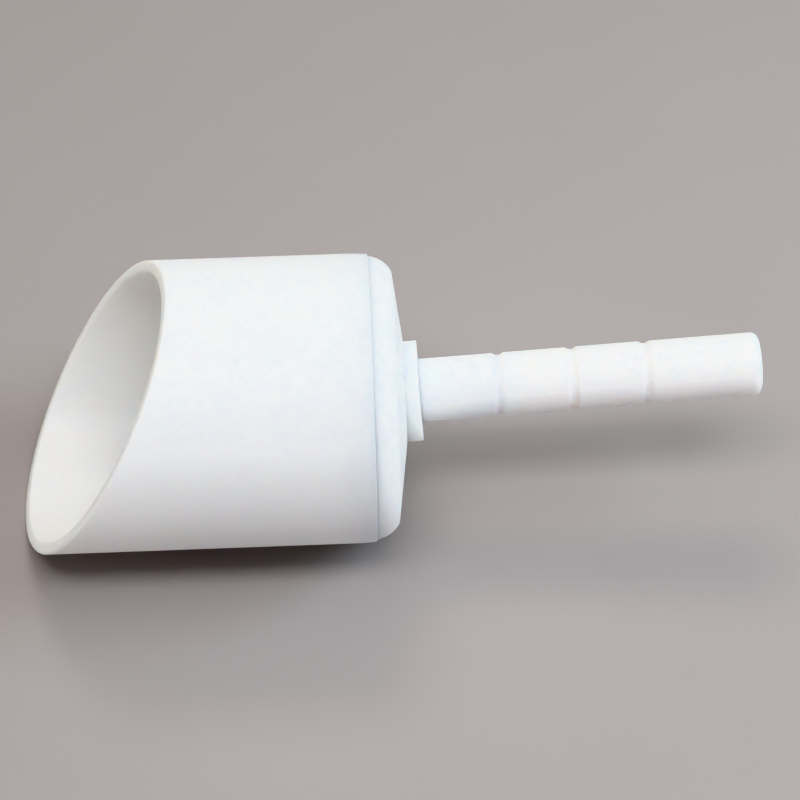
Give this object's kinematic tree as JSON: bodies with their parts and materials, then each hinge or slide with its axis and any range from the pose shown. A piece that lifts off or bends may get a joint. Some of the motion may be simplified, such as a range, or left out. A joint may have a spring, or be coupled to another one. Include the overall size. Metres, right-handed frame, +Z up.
{
  "type": "laboratory hand scoop",
  "caption": "Round hand scoop: a tube with a slanted mouth, closed by a turned plug, and a grooved rod handle that screws onto it through a collar.",
  "frame": {"origin": "on the surface that the scoop lies on, under the middle of its overall length", "axes": "+X from the mouth to the handle, +Z up; the XZ plane is the mirror plane"},
  "size_m": [0.2587, 0.1, 0.1],
  "materials": {
    "ptfe_tube": "satin",
    "ptfe_turned": "satin",
    "stud_plastic": "satin"
  },
  "bodies": {
    "scoop": {"scoop_barrel": "ptfe_tube", "end_plug": "ptfe_turned"},
    "collar": {"handle_collar": "ptfe_turned"},
    "handle": {"handle_grip": "ptfe_turned", "handle_stud": "stud_plastic"}
  },
  "joints": [
    {"name": "collar_slide", "type": "slide", "parent": "scoop", "child": "collar", "axis": [0.9978, 0, 0.0663], "range_m": [0, 0.014]},
    {"name": "handle_screw", "type": "hinge", "parent": "collar", "child": "handle", "pos_m": [0.0059, 0, 0.05252], "axis": [0.9978, 0, 0.0663], "range_deg": [0, 2880]}
  ],
  "couplings": [
    {"joint": "collar_slide", "follows": "handle_screw", "m_per_rad": 0.00027852}
  ]
}
